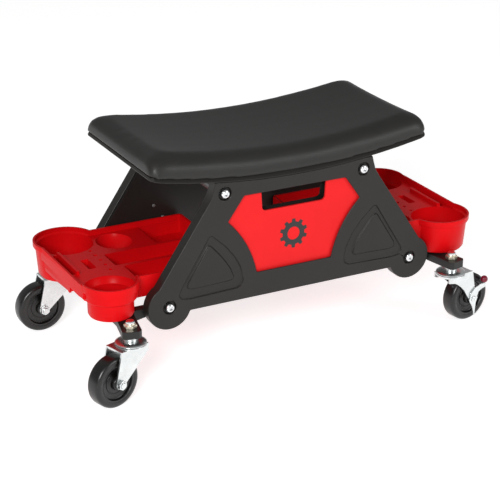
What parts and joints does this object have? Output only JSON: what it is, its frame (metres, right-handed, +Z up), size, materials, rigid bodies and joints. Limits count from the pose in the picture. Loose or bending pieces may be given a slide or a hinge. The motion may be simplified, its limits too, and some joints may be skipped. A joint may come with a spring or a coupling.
{
  "type": "mechanics creeper seat",
  "caption": "Low rolling workshop seat: curved pad on two moulded trapezoid side frames, a tool tray at each end, on swivel casters; the right pair has brake levers.",
  "frame": {"origin": "on the floor, under the middle of the seat", "axes": "+X along the seat towards the braked casters, +Y towards the rear side frame, +Z up"},
  "size_m": [0.6461, 0.32, 0.3233],
  "materials": {
    "moulded_black": "fine moulded grain, semi-matt",
    "seat_skin": "smooth matt vinyl skin with a very fine grain",
    "panel_red": "satin moulded",
    "tray_red": "semi-gloss moulded",
    "carrier_black": "black powder coat",
    "tube_grey": "grey paint",
    "caster_zinc": "bright zinc plate",
    "nut_zinc": "yellow-tinted zinc plate",
    "wheel_rubber": "moulded, semi-matt",
    "lever_cap_red": "dipped vinyl ball"
  },
  "bodies": {
    "root": {"tool_tray_left": "tray_red", "tool_tray_right": "tray_red", "side_frame_front": "moulded_black", "side_frame_rear": "moulded_black", "seat_cushion": "seat_skin", "frame_liner_front": "moulded_black", "frame_liner_rear": "moulded_black", "caster_stem_front_left": "caster_zinc", "caster_stem_rear_left": "caster_zinc", "caster_stem_front_right": "caster_zinc", "caster_stem_rear_right": "caster_zinc", "seat_pan": "moulded_black", "frame_bolt_front_upper_first": "caster_zinc", "frame_bolt_front_upper_second": "caster_zinc", "frame_bolt_front_lower_first": "caster_zinc", "frame_bolt_front_lower_second": "caster_zinc", "frame_bolt_rear_upper_first": "caster_zinc", "frame_bolt_rear_upper_second": "caster_zinc", "frame_bolt_rear_lower_first": "caster_zinc", "frame_bolt_rear_lower_second": "caster_zinc", "crossbar_left": "carrier_black", "crossbar_right": "carrier_black", "carrier_arm_left_first": "carrier_black", "carrier_arm_left_second": "carrier_black", "carrier_arm_right_first": "carrier_black", "carrier_arm_right_second": "carrier_black", "cross_tube_upper_left": "tube_grey", "cross_tube_upper_right": "tube_grey", "cross_tube_lower_left": "tube_grey", "cross_tube_lower_right": "tube_grey", "red_panel_front": "panel_red", "red_panel_rear": "panel_red", "stem_nut_front_left": "nut_zinc", "stem_nut_rear_left": "nut_zinc", "stem_nut_front_right": "nut_zinc", "stem_nut_rear_right": "nut_zinc"},
    "swivel_front_left": {"fork_front_left": "caster_zinc", "axle_bolt_front_left": "caster_zinc", "axle_nut_front_left": "caster_zinc"},
    "wheel_front_left": {"wheel_front_left": "wheel_rubber"},
    "swivel_rear_left": {"fork_rear_left": "caster_zinc", "axle_bolt_rear_left": "caster_zinc", "axle_nut_rear_left": "caster_zinc"},
    "wheel_rear_left": {"wheel_rear_left": "wheel_rubber"},
    "swivel_front_right": {"fork_front_right": "caster_zinc", "axle_bolt_front_right": "caster_zinc", "axle_nut_front_right": "caster_zinc"},
    "wheel_front_right": {"wheel_front_right": "wheel_rubber"},
    "swivel_rear_right": {"fork_rear_right": "caster_zinc", "axle_bolt_rear_right": "caster_zinc", "axle_nut_rear_right": "caster_zinc"},
    "wheel_rear_right": {"wheel_rear_right": "wheel_rubber"},
    "brake_front_right": {"brake_lever_front_right": "caster_zinc", "lever_cap_front_right": "lever_cap_red"},
    "brake_rear_right": {"brake_lever_rear_right": "caster_zinc", "lever_cap_rear_right": "lever_cap_red"}
  },
  "joints": [
    {"name": "swivel_front_left_turn", "type": "hinge", "parent": "root", "child": "swivel_front_left", "pos_m": [-0.2544, -0.1279, 0.08], "axis": [0, 0, 1], "continuous": true},
    {"name": "wheel_front_left_roll", "type": "hinge", "parent": "swivel_front_left", "child": "wheel_front_left", "pos_m": [-0.28529, -0.13734, 0.036], "axis": [0.2924, -0.9563, 0], "continuous": true},
    {"name": "swivel_rear_left_turn", "type": "hinge", "parent": "root", "child": "swivel_rear_left", "pos_m": [-0.2544, 0.1279, 0.08], "axis": [0, 0, 1], "continuous": true},
    {"name": "wheel_rear_left_roll", "type": "hinge", "parent": "swivel_rear_left", "child": "wheel_rear_left", "pos_m": [-0.28668, 0.12677, 0.036], "axis": [0.0349, -0.9994, 0], "continuous": true},
    {"name": "swivel_front_right_turn", "type": "hinge", "parent": "root", "child": "swivel_front_right", "pos_m": [0.2544, -0.1279, 0.08], "axis": [0, 0, 1], "continuous": true},
    {"name": "wheel_front_right_roll", "type": "hinge", "parent": "swivel_front_right", "child": "wheel_front_right", "pos_m": [0.28621, -0.12229, 0.036], "axis": [-0.1736, 0.9848, 0], "continuous": true},
    {"name": "brake_front_right_press", "type": "hinge", "parent": "swivel_front_right", "child": "brake_front_right", "pos_m": [0.28621, -0.12229, 0.036], "axis": [-0.1736, 0.9848, 0], "range_deg": [0, 24]},
    {"name": "swivel_rear_right_turn", "type": "hinge", "parent": "root", "child": "swivel_rear_right", "pos_m": [0.2544, 0.1279, 0.08], "axis": [0, 0, 1], "continuous": true},
    {"name": "wheel_rear_right_roll", "type": "hinge", "parent": "swivel_rear_right", "child": "wheel_rear_right", "pos_m": [0.28529, 0.13734, 0.036], "axis": [-0.2924, 0.9563, 0], "continuous": true},
    {"name": "brake_rear_right_press", "type": "hinge", "parent": "swivel_rear_right", "child": "brake_rear_right", "pos_m": [0.28529, 0.13734, 0.036], "axis": [-0.2924, 0.9563, 0], "range_deg": [0, 24]}
  ]
}
